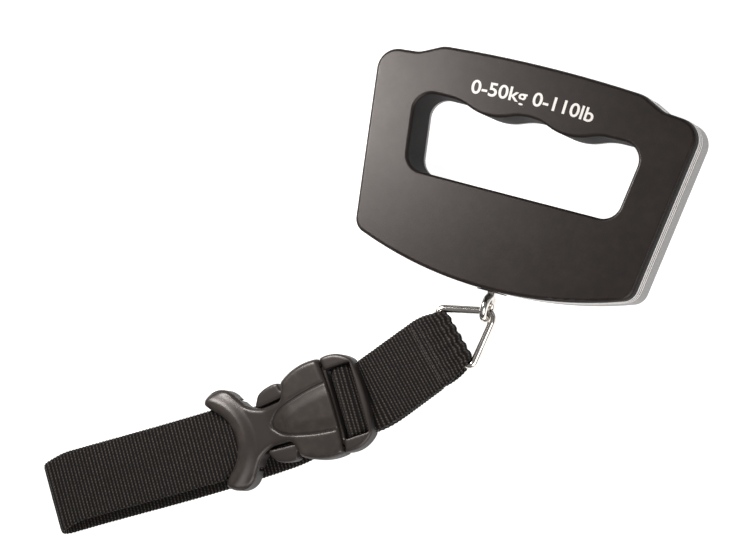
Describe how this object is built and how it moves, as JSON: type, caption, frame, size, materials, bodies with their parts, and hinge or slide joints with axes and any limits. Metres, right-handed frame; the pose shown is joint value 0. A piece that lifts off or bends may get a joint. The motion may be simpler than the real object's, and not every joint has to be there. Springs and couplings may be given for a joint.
{
  "type": "digital luggage scale",
  "caption": "Hand-held hanging scale with a wide grip opening, an eye and triangle ring, and a webbing loop closed by a side-release buckle.",
  "frame": {"origin": "on the flat rear (display-side) face, on the load axis, 5.5 mm inside the lower edge", "axes": "+Z out of the plain front face, +Y from the eye towards the grip, +X to the right seen from the front"},
  "size_m": [0.2245, 0.2227, 0.022],
  "materials": {
    "cover_black": "fine moulded texture, satin",
    "band_silver": "silver paint on moulded plastic",
    "cover_grey": "fine moulded texture, satin",
    "cell_can": "printed can, plain ends",
    "contact_metal": "nickel-plated spring steel",
    "lens": "clear polished acrylic",
    "display": "polished glass",
    "diffuser": "milky",
    "board": "solder mask",
    "switch": "moulded",
    "button_rubber": "matt",
    "cell_alloy": "milled",
    "zinc_steel": "zinc plated",
    "black_screw": "black oxide",
    "bright_nickel": "bright nickel plate, drawn wire",
    "bush_black": "moulded acetal",
    "webbing": "ribbed polypropylene webbing",
    "buckle_plastic": "satin acetal"
  },
  "bodies": {
    "housing": {"front_cover": "cover_black", "trim_band": "band_silver", "rear_cover": "cover_grey", "battery_left": "cell_can", "battery_right": "cell_can", "plus_contact": "contact_metal", "spring_contact": "contact_metal", "lcd_lens": "lens", "lcd_glass": "display", "backlight": "diffuser", "circuit_board": "board", "key_switches": "switch", "load_cell": "cell_alloy", "anchor_plate": "zinc_steel", "cell_bolts": "zinc_steel", "cover_screws": "black_screw", "shank_bush": "bush_black", "thrust_washer": "zinc_steel"},
    "door": {"battery_door": "cover_grey"},
    "unit_key": {"unit_button": "button_rubber"},
    "power_key": {"power_button": "button_rubber"},
    "swivel": {"eye_bolt": "bright_nickel", "eye_nut": "zinc_steel"},
    "ring": {"triangle_ring": "bright_nickel"},
    "strap": {"webbing_upper": "webbing", "webbing_lower": "webbing", "buckle_male": "buckle_plastic"},
    "arm_left": {"buckle_arm_left": "buckle_plastic"},
    "arm_right": {"buckle_arm_right": "buckle_plastic"},
    "loop": {"buckle_female": "buckle_plastic", "webbing_loop": "webbing"}
  },
  "joints": [
    {"name": "door_slide", "type": "slide", "parent": "housing", "child": "door", "axis": [0, 1, 0], "range_m": [0, 0.014]},
    {"name": "unit_press", "type": "slide", "parent": "housing", "child": "unit_key", "axis": [0, 0, 1], "range_m": [0, 0.0004], "stiffness_N_per_m": 300},
    {"name": "power_press", "type": "slide", "parent": "housing", "child": "power_key", "axis": [0, 0, 1], "range_m": [0, 0.0004], "stiffness_N_per_m": 300},
    {"name": "eye_swivel", "type": "hinge", "parent": "housing", "child": "swivel", "pos_m": [0, -0.01645, 0.01], "axis": [0, -1, 0], "continuous": true},
    {"name": "ring_swing", "type": "hinge", "parent": "swivel", "child": "ring", "pos_m": [0, -0.01645, 0.01], "axis": [0, 0, 1], "range_deg": [-10, 108]},
    {"name": "strap_fold", "type": "hinge", "parent": "ring", "child": "strap", "pos_m": [-0.01009, -0.02701, 0.01], "axis": [0.723, -0.6909, 0], "range_deg": [-75, 75]},
    {"name": "arm_left_flex", "type": "hinge", "parent": "strap", "child": "arm_left", "pos_m": [-0.05799, -0.05573, 0.0072], "axis": [0, 0, 1], "range_deg": [0, 8], "stiffness_Nm_per_rad": 0.5},
    {"name": "arm_right_flex", "type": "hinge", "parent": "strap", "child": "arm_right", "pos_m": [-0.0458, -0.07452, 0.0072], "axis": [0, 0, -1], "range_deg": [0, 8], "stiffness_Nm_per_rad": 0.5},
    {"name": "buckle_release", "type": "slide", "parent": "strap", "child": "loop", "axis": [-0.8387, -0.5446, 0], "range_m": [0, 0.034], "deforming": ["buckle_arm_left", "buckle_arm_right"]}
  ]
}
